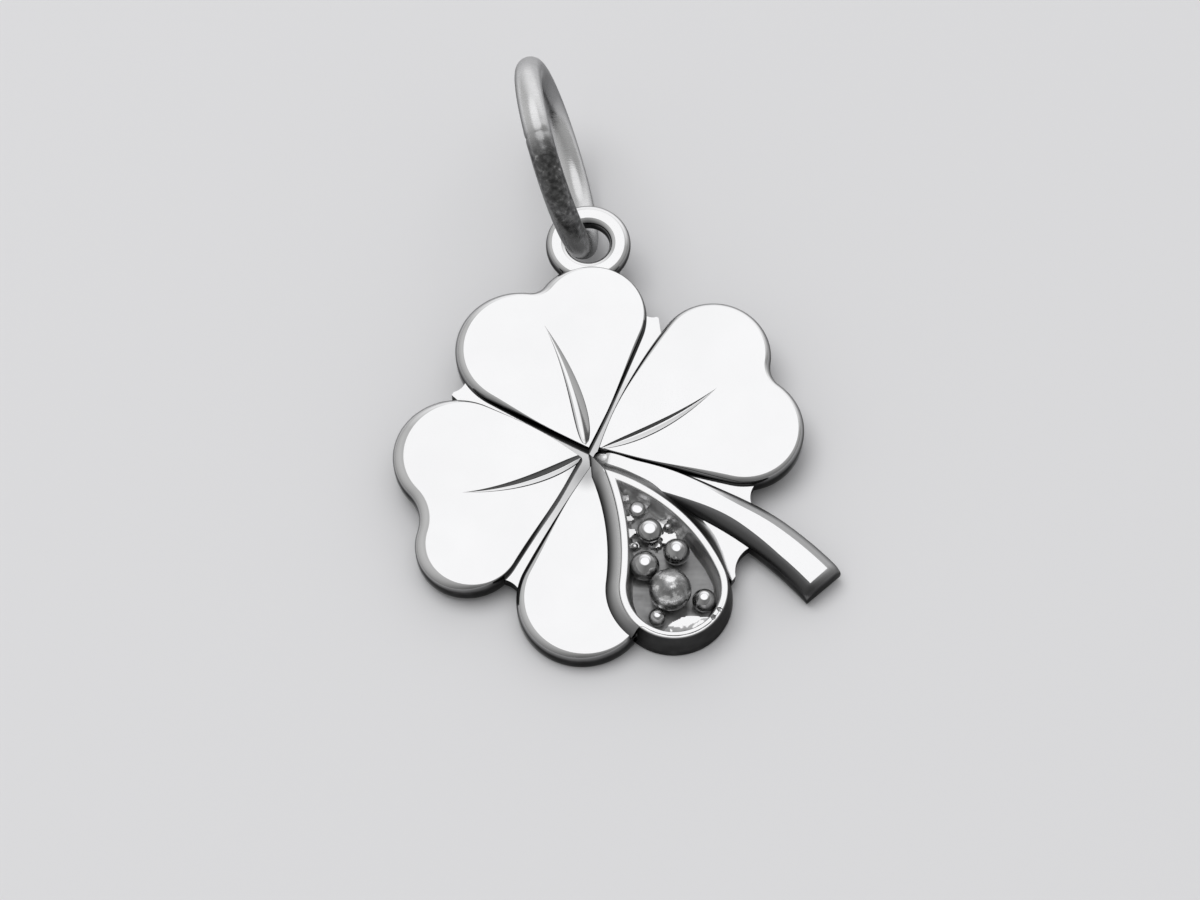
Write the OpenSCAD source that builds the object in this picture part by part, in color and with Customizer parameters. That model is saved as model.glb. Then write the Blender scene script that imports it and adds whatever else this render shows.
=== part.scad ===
// Four leaf clover pendant of polished silver, lying on a flat surface.
// The clover is one soldered piece. A jump ring goes through its eyelet, and grains lie in its cup.
// The clover is drawn flat, underside at z = 0 and middle at the origin, and then laid down
// on its two lower lobes and the jump ring.

/* [Leaves] */
// Length that the leaves' shares are taken of, from the middle of the clover to its far edge
leaf_l = 7.5; // [6.5:0.1:9]
// Thickness of the leaf plate
plate_t = 0.9; // [0.75:0.05:1.1]
// Width of the rounding along the leaves' upper edges
edge_w = 0.24; // [0.18:0.02:0.3]
// Height of the rounding along the upper edges
edge_h = 0.32; // [0.2:0.02:0.4]
// Width of the chamfer along the lower edges
foot_w = 0.06; // [0.02:0.01:0.12]
// How far the web in the grooves lies below the leaf tops
web_drop = 0.36; // [0.25:0.02:0.5]
// Width of the web's widest tongue
web_w = 2; // [1.8:0.1:2.2]
// Width of the widest vein cut
vein_w = 0.56; // [0.4:0.02:0.7]
// Depth of the widest vein cut
vein_d = 0.22; // [0.15:0.01:0.3]

/* [Stem] */
// Length of the stem along its bend
stem_l = 9.6; // [8:0.1:11]
// Radius of the stem's bend
stem_bend = 13.9; // [12:0.1:20]
// How far the stem's top lies below the leaf tops
stem_drop = 0.03; // [0.01:0.01:0.08]
// Width of the stem at the middle of the clover
stem_root_w = 1.15; // [0.9:0.05:1.3]
// Width of the stem at its end
stem_end_w = 1.66; // [1.4:0.02:1.9]
// Width of the rounding along the stem's upper edges
stem_edge_w = 0.28; // [0.2:0.02:0.34]
// How much wider that rounding is on the stem's outer side
stem_lean = 0.06; // [0:0.01:0.1]
// How much wider that rounding is on the stem's inner side at the middle of the clover
root_slope_w = 0.5; // [0.3:0.05:0.6]

/* [Cup] */
// Outer diameter of the cup's round end at its rim
cup_d = 3.92; // [3.6:0.02:4.1]
// Height of the cup's rim above the leaf tops
cup_rise = 0.4; // [0.2:0.05:0.6]
// Width of the cup's flat rim
rim_w = 0.28; // [0.2:0.02:0.36]
// Size of the small chamfer round the cup's rim
rim_edge = 0.05; // [0.03:0.01:0.08]
// Thickness of the cup's floor
floor_t = 0.25; // [0.2:0.05:0.4]
// How far the cup's outer wall spreads down to the table
cup_draft = 0.2; // [0.1:0.02:0.3]
// Reach of the hollow slope from the rim down to the plain lobe
skirt_w = 0.5; // [0.3:0.05:0.7]

/* [Grains] */
// Diameter of the largest grain in the cup
grain_d = 1.38; // [1.1:0.02:1.44]
// Gap between each grain and the cup
grain_gap = 0.02; // [0.01:0.01:0.05]

/* [Eyelet] */
// Diameter of the eyelet's wire
eye_wire = 0.8; // [0.6:0.05:0.85]
// How much wider the eyelet's hole is than the jump ring's wire
eye_play = 0.6; // [0.6:0.05:0.9]
// How far the eyelet's wire reaches into the leaf
eye_bite = 0.65; // [0.4:0.05:0.8]

/* [Jump ring] */
// Outer diameter of the jump ring
ring_d = 7.9; // [7:0.1:9]
// Diameter of the jump ring's wire
ring_wire = 1; // [0.8:0.05:1.2]
// Angle from the leaf plate up to the jump ring's middle, seen from the eyelet
ring_lift = 32.1; // [31:0.1:33]
// Turn of the jump ring away from straight on
ring_turn = 11.8; // [10:0.1:14]
// Sideways lean of the jump ring
ring_lean = -13.5; // [-15:0.5:-12]
// How far out from the middle of the eyelet the jump ring's wire passes
ring_out = 0.08; // [0:0.02:0.12]
// How far below the middle of the eyelet the jump ring's wire passes
ring_low = 0.16; // [0.1:0.02:0.2]
// How far left of the middle of the eyelet the jump ring's wire passes
ring_aside = 0.16; // [0.1:0.02:0.18]

/* [Hidden] */
silver = "#dcdcde";
worn_silver = "#a6a6aa";
grey_silver = "#7d7d82";

// Leaves, with all lengths as shares of leaf_l. Half a lies left of the leaf's axis, half b right.
// Each half is a side arc from the tip and a lobe arc, and a notch arc joins the two lobes.
// The lean is how far the leaf's far edge lies left of where its flat top ends.
// Columns: axis angle, tip, [along, across, lobe radius, side radius] of a, the same of b,
// notch radius, lean
LEAVES = [
    [ 97.8, 0.020, [0.605, 0.253, 0.319, 10.4], [0.745, 0.119, 0.280, 10.7], 0.090, 0.019],
    [ 35.4, 0.045, [0.813, 0.087, 0.283, 2.29], [0.695, 0.318, 0.298, 12.1], 0.120, 0.000],
    [205.8, 0.040, [0.701, 0.172, 0.252, 22.0], [0.565, 0.272, 0.300, 2.90], 0.200, 0.038],
    [-77.2, 0.048, [0.785, 0.232, 0.262, 0.94], [0.717, 0.183, 0.320, 5.30], 0.016, 0.016]
];
top_leaf = LEAVES[0];
cup_leaf = LEAVES[3];

// Veins, with places and bow as shares of leaf_l, and the size of the cut as a share of the widest
// Columns: inner end, outer end, bow to the left, size
VEINS = [
    [[-0.020,  0.045], [-0.224,  0.683], -0.032, 1.00],
    [[ 0.050,  0.024], [ 0.621,  0.347], -0.036, 0.72],
    [[-0.020, -0.006], [-0.615, -0.207],  0.048, 0.98]
];

// How much nearer to its inner end a vein is widest (1 is halfway), and its size at both ends
VEIN_SWELL = 0.7;
VEIN_TIP = 0.02;

// Grooves in which a tongue of the web shows. Columns: angle, reach as a share of leaf_l, and how far
// the tongue's end reaches to the right and to the left, as shares of web_w
GROOVES = [
    [ 66.0, 0.825, 0.02, 0.38],
    [149.7, 0.755, 0.38, 0.22],
    [239.8, 0.785, 0.38, 0.38],
    [-13.6, 0.835, 0.38, 0.38],
    [-35.4, 0.930, 0.50, 0.50]
];
// Where a tongue starts to narrow to its end, as a share of its reach, and the hollow in its end:
// radius as a share of the end's width, and how far out its middle lies as a share of the radius
TONGUE_KNEE = 0.84;
SCOOP = [0.55, 0.72];

hub_r = 0.27 * leaf_l;

// Cup's outline, as shares of leaf_l. Columns: tip, radius of the hollow side, radius of the round side
CUP = [[0.069, -0.103], 1.20, 0.92];
// Height of the skirt halfway up it, as a share of its rise
SKIRT_HALFWAY = 0.4;

// Grains. Columns: place along the cup from the middle of its round end (0) to its tip (1), place
// across from the right wall (-1) to the left (1), and diameter as a share of grain_d
GRAINS = [
    [ 0.01, -0.08, 1.00],
    [ 0.26,  0.85, 0.78],
    [ 0.25, -0.68, 0.71],
    [ 0.48,  0.06, 0.67],
    [-0.15, -0.87, 0.63],
    [-0.10,  0.76, 0.44],
    [ 0.67, -0.19, 0.38],
    [ 0.44,  0.88, 0.22],
    [ 0.46, -0.88, 0.25]
];

// Stem's start and first direction, as shares of leaf_l and in degrees
stem_start = leaf_l * [0.031, -0.052];
stem_heading = -9.6;
stem_top = plate_t - stem_drop;
root_rise_l = 0.15 * stem_l;
root_slope_l = 0.45 * stem_l;

SIDE_STEPS = 7;
LOBE_STEPS = 17;
NOTCH_STEPS = 6;
ROUND_STEPS = 5;
VEIN_STEPS = 14;
STEM_STEPS = 16;
WIRE_FINE = 14;
ROUND_FINE = 44;
OVER = 0.2;

function polar(r, a) = r * [cos(a), sin(a)];
function heading(v) = atan2(v.y, v.x);
function turned(v, a) = [v.x * cos(a) - v.y * sin(a), v.x * sin(a) + v.y * cos(a)];
function at_z(v, z) = [v.x, v.y, z];
function square_of(x) = x * x;
function crossed(v, w) = v.x * w.y - v.y * w.x;
function angle_on(a, b) = (b - a + 720) % 360;

// Points of an arc without its last, anticlockwise when turn is 1 and clockwise when it is -1
function arc(mid, r, from, to, turn, steps) =
    let (sweep = turn > 0 ? angle_on(from, to) : -angle_on(to, from))
    [for (i = [0:steps - 1]) mid + polar(r, from + sweep * i / steps)];

// Where two circles meet, on the left of the line from the first middle to the second
function meet(c1, r1, c2, r2) =
    let (d = norm(c2 - c1),
         a = (r1 * r1 - r2 * r2 + d * d) / (2 * d),
         e = (c2 - c1) / d)
    c1 + a * e + sqrt(r1 * r1 - a * a) * [-e.y, e.x];

// Outline of a leaf, anticlockwise from its tip, drawn in by inset
function lobe_mid(leaf, k) = leaf_l * [leaf[k][0], (k == 2 ? 1 : -1) * leaf[k][1]];
function lobe_r(leaf, k) = leaf_l * leaf[k][2];
function side_r(leaf, k) = leaf_l * leaf[k][3];
function side_mid(leaf, k) =
    let (tip = [leaf_l * leaf[1], 0], s = side_r(leaf, k), gap = s - lobe_r(leaf, k))
    k == 2 ? meet(lobe_mid(leaf, k), gap, tip, s) : meet(tip, s, lobe_mid(leaf, k), gap);
function leaf_outline(leaf, inset) =
    let (ma = lobe_mid(leaf, 2), mb = lobe_mid(leaf, 3),
         qa = side_mid(leaf, 2), qb = side_mid(leaf, 3),
         ra = lobe_r(leaf, 2), rb = lobe_r(leaf, 3),
         sa = side_r(leaf, 2), sb = side_r(leaf, 3),
         rn = leaf_l * leaf[4],
         notch = meet(ma, ra + rn, mb, rb + rn),
         tip = meet(qa, sa - inset, qb, sb - inset),
         points = concat(
             arc(qb, sb - inset, heading(tip - qb), heading(mb - qb), 1, SIDE_STEPS),
             arc(mb, rb - inset, heading(mb - qb), heading(notch - mb), 1, LOBE_STEPS),
             arc(notch, rn + inset, heading(mb - notch), heading(ma - notch), -1, NOTCH_STEPS),
             arc(ma, ra - inset, heading(notch - ma), heading(ma - qa), 1, LOBE_STEPS),
             arc(qa, sa - inset, heading(ma - qa), heading(tip - qa), 1, SIDE_STEPS)))
    [for (p = points) turned(p, leaf[0])];
function lobe_place(leaf, k) = turned(lobe_mid(leaf, k), leaf[0]);
function leaned(leaf, p, share) = p - [leaf[5] * norm(p) * share, 0];

// Rounded edge of width w, from the underside up. Each row is [inset, height, share of the lean]
function edge_profile(top, w) = concat(
    [[foot_w, 0, 1], [0, foot_w, 1]],
    [for (i = [0:ROUND_STEPS]) let (a = 90 * i / ROUND_STEPS)
        [w * (1 - cos(a)), top - edge_h * (1 - sin(a)), cos(a)]]);
function leaf_ring(leaf, e) = [for (p = leaf_outline(leaf, e[0])) at_z(leaned(leaf, p, e[2]), e[1])];

// Cup's outline at its rim, anticlockwise from its tip, drawn in by inset
cup_mid = lobe_place(cup_leaf, 2);
cup_r = cup_d / 2;
cup_inner_r = cup_r - rim_w;
cup_tip = leaf_l * CUP[0];
cup_top = plate_t + cup_rise;
hollow_r = leaf_l * CUP[1];
round_r = leaf_l * CUP[2];
hollow_mid = meet(cup_mid, hollow_r + cup_r, cup_tip, hollow_r);
round_mid = meet(cup_mid, round_r - cup_r, cup_tip, round_r);
function cup_outline(inset) =
    let (tip = meet(hollow_mid, hollow_r + inset, round_mid, round_r - inset))
    concat(
        arc(hollow_mid, hollow_r + inset,
            heading(tip - hollow_mid), heading(cup_mid - hollow_mid), -1, LOBE_STEPS),
        arc(cup_mid, cup_r - inset,
            heading(hollow_mid - cup_mid), heading(cup_mid - round_mid), 1, 2 * LOBE_STEPS),
        arc(round_mid, round_r - inset,
            heading(cup_mid - round_mid), heading(tip - round_mid), 1, LOBE_STEPS));

function cup_rings(rows) = [for (e = rows) [for (p = cup_outline(e[0])) at_z(p, e[1])]];

// Where a grain lies, between the cup's two walls at its place along the cup
cup_axis = cup_tip - cup_mid;
cup_left = [-cup_axis.y, cup_axis.x] / norm(cup_axis);
function grain_r(row) = grain_d * row[2] / 2;
function left_wall(base) =
    let (to = hollow_mid - base)
    to * cup_left - sqrt(square_of(hollow_r + rim_w) - square_of(crossed(to, cup_left)));
function right_wall(base) =
    let (to = round_mid - base)
    sqrt(square_of(round_r - rim_w) - square_of(crossed(to, cup_left))) - to * cup_left;
function grain_place(row) =
    let (base = cup_mid + row[0] * cup_axis,
         room = grain_r(row) + grain_gap,
         end_wall = sqrt(square_of(cup_inner_r - room) - square_of(min(row[0], 0) * norm(cup_axis))),
         left = row[0] > 0 ? left_wall(base) - room : end_wall,
         right = row[0] > 0 ? right_wall(base) - room : end_wall)
    base + cup_left * (left - right + row[1] * (left + right)) / 2;

// Stem's middle line
function stem_place(s) =
    let (a = s / stem_bend * 180 / PI)
    stem_start + turned(stem_bend * [sin(a), cos(a) - 1], stem_heading);
function stem_turn(s) = stem_heading - s / stem_bend * 180 / PI;
function stem_width(s) = stem_root_w + (stem_end_w - stem_root_w) * sqrt(s / stem_l);
function root_slope(s) = root_slope_w * square_of(max(0, 1 - s / root_slope_l));
function root_drop(s) = (stem_top - plate_t + web_drop) * square_of(max(0, 1 - s / root_rise_l));

// Eyelet
eye_hole = ring_wire + eye_play;
eye_r = (eye_hole + eye_wire) / 2;
eye_turn = 93.8;
eye_mid = at_z(
    lobe_place(top_leaf, 3) + polar(lobe_r(top_leaf, 3) - eye_bite + eye_wire / 2 + eye_r, eye_turn),
    plate_t / 2);

// Jump ring, with its wire through the eyelet
ring_r = (ring_d - ring_wire) / 2;
ring_ahead = [-sin(ring_turn), cos(ring_turn), 0];
ring_side = [cos(ring_turn), sin(ring_turn), 0];
ring_up = [0, 0, 1] * cos(ring_lean) + ring_side * sin(ring_lean);
ring_axis = cross(ring_ahead, ring_up);
ring_mid = eye_mid + [-ring_aside, ring_out, -ring_low]
    + ring_r * (ring_ahead * cos(ring_lift) + ring_up * sin(ring_lift));

// Line on the table that both lower lobes touch, and the tilt at which the jump ring touches it too
foot_b = leaned(cup_leaf, lobe_place(cup_leaf, 3), 1);
foot_b_r = lobe_r(cup_leaf, 3) - foot_w;
foot_a_r = cup_r + cup_draft - foot_w;
foot_turn = heading(cup_mid - foot_b) - acos((foot_b_r - foot_a_r) / norm(cup_mid - foot_b));
foot_out = polar(1, foot_turn);
foot_along = [-foot_out.y, foot_out.x, 0];
foot_place = at_z(foot_b + foot_b_r * foot_out, 0);
function table_up(tilt) = at_z(-sin(tilt) * foot_out, cos(tilt));
function ring_height(tilt) =
    let (up = table_up(tilt))
    (ring_mid - foot_place) * up - ring_r * sqrt(1 - square_of(ring_axis * up)) - ring_wire / 2;
function settle(low, high, tries) =
    let (half = (low + high) / 2)
    tries == 0 ? half
        : ring_height(half) > 0 ? settle(low, half, tries - 1) : settle(half, high, tries - 1);
tilt = settle(0, 20, 40);

// Places as they lie on the table, before the origin is set under the middle
function laid(p) =
    let (q = p - foot_place, inward = -(q * at_z(foot_out, 0)))
    foot_along * (q * foot_along)
        - at_z(foot_out, 0) * (inward * cos(tilt) - q.z * sin(tilt))
        + [0, 0, inward * sin(tilt) + q.z * cos(tilt)];
function laid_way(v) = laid(foot_place + v);
stem_corners = [
    for (side = [-1, 1], z = [foot_w, stem_top - edge_h])
        at_z(stem_place(stem_l) + side * polar(stem_end_w / 2, stem_turn(stem_l) + 90), z)
];
rim_points = [
    for (leaf = LEAVES, z = [foot_w, plate_t - edge_h], p = leaf_ring(leaf, [0, z, 1])) laid(p),
    for (p = stem_corners) laid(p)
];
ring_reach = [
    for (way = [[1, 0, 0], [0, 1, 0]])
        ring_r * sqrt(1 - square_of(laid_way(ring_axis) * way)) + ring_wire / 2
];
ring_laid = laid(ring_mid);
low_x = min([for (p = rim_points) p.x]);
high_x = max([for (p = rim_points) p.x]);
low_y = min([for (p = rim_points) p.y]);
high_y = ring_laid.y + ring_reach.y;
table_mid = [(low_x + high_x) / 2, (low_y + high_y) / 2, 0];

module at_rest()
    translate(-table_mid) rotate(a = tilt, v = foot_along) translate(-foot_place) children();

// Closed solid through rings of equally many points, from the lowest ring to the highest
module skin(rings, low, high) {
    n = len(rings[0]);
    last = (len(rings) - 1) * n;
    ends = last + n;
    polyhedron(
        points = concat([for (r = rings) each r], [low, high]),
        faces = [
            for (k = [0:n:last - n], i = [0:n - 1]) [k + i, k + n + i, k + n + (i + 1) % n],
            for (k = [0:n:last - n], i = [0:n - 1]) [k + i, k + n + (i + 1) % n, k + (i + 1) % n],
            for (i = [0:n - 1]) [ends, i, (i + 1) % n],
            for (i = [0:n - 1]) [ends + 1, last + (i + 1) % n, last + i]
        ]
    );
}

module leaf(row) {
    mid = (lobe_place(row, 2) + lobe_place(row, 3)) / 2;
    skin(
        [for (e = edge_profile(plate_t, edge_w)) leaf_ring(row, e)],
        at_z(mid, 0), at_z(mid, plate_t)
    );
}

module hub() cylinder(h = plate_t - web_drop, r = hub_r, $fn = 32);

module web_tongue(groove) {
    reach = leaf_l * groove[1];
    right = -web_w * groove[2];
    left = web_w * groove[3];
    knee = TONGUE_KNEE * [reach, max(left, -right)];
    scoop = SCOOP[0] * (left - right);
    rotate([0, 0, groove[0]])
        linear_extrude(plate_t - web_drop)
            difference() {
                polygon([[0, 0], [knee.x, -knee.y], [reach, right], [reach, left], knee]);
                translate([reach + SCOOP[1] * scoop, (left + right) / 2]) circle(scoop, $fn = 32);
            }
}

// Cross-section of the stem at s along it, with its rounded top lowered by drop
function stem_section(s, drop) =
    let (outer = edge_profile(stem_top - drop, stem_edge_w + stem_lean),
         inner = edge_profile(stem_top - drop, stem_edge_w - stem_lean + root_slope(s)),
         across = polar(1, stem_turn(s) - 90),
         w = stem_width(s) / 2)
    concat(
        [for (e = outer) at_z(stem_place(s) - across * (w - e[0]), e[1])],
        [for (i = [len(inner) - 1:-1:0]) at_z(stem_place(s) + across * (w - inner[i][0]), inner[i][1])]);

module stem() {
    steps = concat(
        [for (i = [0:STEM_STEPS]) let (s = (stem_l - stem_edge_w) * i / STEM_STEPS) [s, root_drop(s)]],
        [for (i = [1:ROUND_STEPS]) let (a = 90 * i / ROUND_STEPS)
            [stem_l - stem_edge_w * (1 - sin(a)), edge_h * (1 - cos(a))]]);
    skin(
        [for (s = steps) stem_section(s[0], s[1])],
        at_z(stem_place(0), plate_t / 2), at_z(stem_place(stem_l), plate_t / 3)
    );
}

module cup_wall() {
    rows = [[foot_w - cup_draft, 0], [-cup_draft, foot_w], [0, cup_top - rim_edge], [rim_edge, cup_top]];
    skin(cup_rings(rows), at_z(cup_mid, 0), at_z(cup_mid, cup_top));
}

// Hollow slope that rises from the plain lobe to the cup's rim, kept to the plain lobe's side
module skirt() {
    foot = plate_t - edge_h;
    crest = cup_top - rim_edge;
    plain_side = [cup_mid, cup_tip + cup_axis / 5, foot_b - [leaf_l, 0], foot_b - [0, leaf_l]];
    rows = [
        [-skirt_w, foot],
        [-skirt_w, plate_t],
        [-skirt_w / 2, plate_t + SKIRT_HALFWAY * (crest - plate_t)],
        [0, crest]
    ];
    intersection() {
        skin(cup_rings(rows), at_z(cup_mid, foot), at_z(cup_mid, crest));
        linear_extrude(cup_top) polygon(leaf_outline(cup_leaf, edge_w / 2));
        linear_extrude(cup_top) polygon(plain_side);
    }
}

module cup_hollow() {
    rows = [[rim_w, floor_t], [rim_w, cup_top + OVER]];
    skin(cup_rings(rows), at_z(cup_mid, floor_t), at_z(cup_mid, cup_top + OVER));
}

module vein(row) {
    from = leaf_l * row[0];
    along = leaf_l * row[1] - from;
    left = [-along.y, along.x] / norm(along);
    rings = [
        for (i = [0:VEIN_STEPS])
            let (t = i / VEIN_STEPS,
                 size = row[3] * max(sin(180 * pow(t, VEIN_SWELL)), VEIN_TIP),
                 mid = from + along * t + left * leaf_l * row[2] * 4 * t * (1 - t),
                 w = left * vein_w * size / 2)
            [
                at_z(mid + w, plate_t),
                at_z(mid + w, plate_t + OVER),
                at_z(mid - w, plate_t + OVER),
                at_z(mid - w, plate_t),
                at_z(mid, plate_t - vein_d * size)
            ]
    ];
    skin(rings, at_z(from, plate_t + OVER / 2), at_z(from + along, plate_t + OVER / 2));
}

// Round wire bent into a ring
module wire_ring(r, wire, fine)
    rotate_extrude($fn = fine * ROUND_FINE) translate([r, 0]) circle(wire / 2, $fn = fine * WIRE_FINE);

module eyelet() translate(eye_mid) wire_ring(eye_r, eye_wire, 1);

module clover()
    color(silver) at_rest() difference() {
        union() {
            for (row = LEAVES) leaf(row);
            for (groove = GROOVES) web_tongue(groove);
            hub();
            stem();
            cup_wall();
            skirt();
            eyelet();
        }
        cup_hollow();
        for (row = VEINS) vein(row);
    }

module jump_ring()
    color(worn_silver) at_rest()
        translate(ring_mid)
            rotate([0, acos(ring_axis.z), heading(ring_axis)])
                wire_ring(ring_r, ring_wire, 2);

module grain(k) {
    row = GRAINS[k - 1];
    color(grey_silver) at_rest()
        translate(at_z(grain_place(row), floor_t + grain_gap + grain_r(row)))
            sphere(grain_r(row), $fn = 32);
}

clover();
jump_ring();
grain(1);  // grain_1
grain(2);  // grain_2
grain(3);  // grain_3
grain(4);  // grain_4
grain(5);  // grain_5
grain(6);  // grain_6
grain(7);  // grain_7
grain(8);  // grain_8
grain(9);  // grain_9
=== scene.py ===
"""Looks of the four leaf clover pendant. Lengths in the functions are in millimetres.

The plate frame has the clover flat, its underside at z = 0 and its middle at the origin.
lay() carries it to the row frame, where the pendant lies on the table.
"""
from collections import namedtuple
from math import acos, atan2, cos, degrees, exp, hypot, pi, radians, sin, sqrt

import bmesh
import bpy
import numpy as np
from numpy.linalg import norm
from mathutils import Matrix, Vector, kdtree, noise


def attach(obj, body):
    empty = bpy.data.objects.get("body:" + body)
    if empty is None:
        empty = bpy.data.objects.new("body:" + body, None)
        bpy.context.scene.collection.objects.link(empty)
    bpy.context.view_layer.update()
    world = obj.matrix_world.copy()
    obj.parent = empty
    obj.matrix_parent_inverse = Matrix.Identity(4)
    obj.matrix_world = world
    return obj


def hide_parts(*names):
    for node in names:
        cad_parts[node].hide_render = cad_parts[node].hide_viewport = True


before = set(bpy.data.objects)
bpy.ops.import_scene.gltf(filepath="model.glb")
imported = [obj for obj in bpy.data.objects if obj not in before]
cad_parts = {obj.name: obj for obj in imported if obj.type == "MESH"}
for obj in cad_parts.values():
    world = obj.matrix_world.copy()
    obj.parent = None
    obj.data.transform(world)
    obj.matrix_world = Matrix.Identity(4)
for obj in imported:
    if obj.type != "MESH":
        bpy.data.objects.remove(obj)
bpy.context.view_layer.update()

MM = 0.001

# Sizes

LEAF_L = 7.5
PLATE_T = 0.9
# Rounded upper edge: width, height, and its curve (1 is a quarter ellipse, 2 a straight slope)
EDGE_W, EDGE_H, EDGE_CURVE = 0.24, 0.32, 1.3
# Share of the edge's width along the grooves at the middle, and where it grows to all of it
GROOVE_EDGE, GROOVE_EDGE_GROWS = 0.25, (1.5, 5.0)
FOOT_W = 0.06
# The web's depth below the leaf tops, width of its widest tongue, and radius of its middle over LEAF_L
WEB_DROP, WEB_W, WEB_HUB = 0.36, 2.0, 0.27

# The stem's start over LEAF_L, its heading there and the radius of its bend
STEM_START, STEM_HEADING, STEM_BEND = (0.031, -0.052), -9.6, 13.9
STEM_L, STEM_DROP = 9.6, 0.03
STEM_ROOT_W, STEM_END_W = 1.15, 1.66
# Width of its edges at the root and further out, and where they grow, as shares of its length
STEM_ROOT_EDGE_W, STEM_EDGE_W, STEM_EDGE_GROWS = 0.14, 0.40, (0.25, 0.6)
# How much wider its inner edge slopes beside the cup, and the share of its length that does
STEM_SLOPE_W, STEM_SLOPE_L = 0.14, 0.8
# How much narrower it is beside the right leaf, and along where this comes and goes
STEM_GAP, STEM_GAP_COMES, STEM_GAP_GOES = 0.13, (0.3, 1.5), (4.0, 7.0)
# Share of its length over which it rises out of the web
STEM_ROOT_L = 0.05

CUP_D, CUP_RISE, RIM_W, RIM_EDGE = 3.92, 0.4, 0.28, 0.05
FLOOR_T, CUP_DRAFT = 0.25, 0.2
# Tip, and radii of the hollow and the round side, as shares of LEAF_L
CUP_TIP, CUP_HOLLOW, CUP_ROUND = (0.069, -0.103), 1.20, 0.92
# Rounding between the cup's wall and floor, how far the wall leans above it and below the rim, and where
BOWL_W, BOWL_H, WALL_LEAN, RIM_LEAN, RIM_LEAN_AT = 0.34, 0.42, 0.05, 0.02, 0.1

EYE_WIRE, EYE_PLAY, EYE_BITE, EYE_TURN = 0.8, 0.6, 0.65, 93.8
# Power that hammers the eyelet's wire flat: 2 is round
EYE_FLAT = 2.6
RING_D, RING_WIRE = 7.9, 1.0
RING_LIFT, RING_TURN, RING_LEAN = 32.1, 11.8, -13.5
RING_OUT, RING_LOW, RING_ASIDE = 0.08, 0.16, 0.16

# Lobe of a leaf: its middle along the leaf's axis and across it, its radius, and that of the leaf's side
Lobe = namedtuple("Lobe", "along across r side_r")
# Angle of the axis, place of the tip on it, lobes, radius of the notch, lean of the walls to the left. The
# lengths are shares of LEAF_L.
Leaf = namedtuple("Leaf", "angle tip left right notch lean")
LEAVES = [
    Leaf(97.8, 0.020, Lobe(0.605, 0.253, 0.319, 10.4), Lobe(0.745, 0.119, 0.280, 10.7), 0.090, 0.019),
    Leaf(35.4, 0.045, Lobe(0.813, 0.087, 0.283, 2.29), Lobe(0.695, 0.318, 0.298, 12.1), 0.120, 0.000),
    Leaf(205.8, 0.040, Lobe(0.701, 0.172, 0.252, 22.0), Lobe(0.565, 0.272, 0.300, 2.90), 0.200, 0.038),
    Leaf(-77.2, 0.048, Lobe(0.785, 0.232, 0.262, 0.94), Lobe(0.717, 0.183, 0.320, 5.30), 0.016, 0.016),
]
TOP_LEAF, CUP_LEAF = LEAVES[0], LEAVES[3]

# Both ends and the bow to the left as shares of LEAF_L, size, the side its cross-section starts at (1 is
# left), how far out it is widest (1 is halfway), and where the valley of a sharp one lies
Vein = namedtuple("Vein", "inner outer bow size side swell valley")
VEINS = [
    Vein((-0.020, 0.045), (-0.224, 0.683), -0.032, 1.00, 1, 0.50, None),
    Vein((0.050, 0.024), (0.621, 0.347), -0.036, 0.72, 1, 0.70, 0.46),
    Vein((-0.020, -0.006), (-0.615, -0.207), 0.043, 0.82, -1, 0.58, 0.15),
]
# Width and depth of a vein of size 1, its size at both ends, and its rings
VEIN_W, VEIN_D, VEIN_TIP, VEIN_STEPS = 0.56, 0.22, 0.02, 48
# Cross-section of the wide vein, steep wall first: shares of half its width and of its depth
VEIN_SECTION = [
    (1.00, -0.03), (0.97, 0.02), (0.91, 0.35), (0.85, 0.62), (0.76, 0.80), (0.62, 0.90), (0.40, 0.96),
    (0.12, 1.00), (0.00, 0.98), (-0.10, 0.91), (-0.40, 0.64), (-0.70, 0.34), (-0.88, 0.14),
    (-0.96, 0.04), (-1.00, -0.03),
]
# A sharp vein's depth, where its long wall ends, and how far that has risen there
SHARP_D, SHARP_W, SHARP_RISE = 0.65, 0.70, 0.43
# Painted shade across the sharp veins, one value for each point of the cross-section
VEIN_SHADE = [1.0, 1.0, 0.8, 0.72, 1.0, 0.9, 0.0, 0.0, 1.0, 1.0, 1.0]

# Angle, reach over LEAF_L, and how far the tongue's end reaches to the right and the left over WEB_W
GROOVES = [
    (66.0, 0.825, 0.02, 0.38),
    (149.7, 0.755, 0.38, 0.22),
    (239.8, 0.785, 0.38, 0.38),
    (-13.6, 0.835, 0.38, 0.38),
    (-35.4, 0.930, 0.50, 0.50),
]
# Where a tongue starts to narrow, and the radius and the place of the hollow in its end, as shares
TONGUE_KNEE, SCOOP_R, SCOOP_OUT = 0.84, 0.55, 0.72

GRAIN_D, GRAIN_GAP = 1.38, 0.02
# Place along the cup (1 is its tip) and across it (1 is left), and diameter over GRAIN_D
GRAINS = [
    (0.01, -0.08, 1.00),
    (0.26, 0.85, 0.78),
    (0.25, -0.68, 0.71),
    (0.48, 0.06, 0.67),
    (-0.15, -0.87, 0.63),
    (-0.10, 0.76, 0.44),
    (0.67, -0.19, 0.38),
    (0.44, 0.88, 0.22),
    (0.46, -0.88, 0.25),
]

# Plane geometry


def vec(*v):
    return np.array(v, float)


MIDDLE = vec(0, 0)


def polar(r, a):
    return r * vec(cos(radians(a)), sin(radians(a)))


def heading(v):
    return degrees(atan2(v[1], v[0]))


def turned(v, a):
    c, s = cos(radians(a)), sin(radians(a))
    return np.stack([v[..., 0] * c - v[..., 1] * s, v[..., 0] * s + v[..., 1] * c], -1)


def crossed(v, w):
    return v[0] * w[1] - v[1] * w[0]


def at_z(p, z):
    return vec(p[0], p[1], z)


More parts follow.
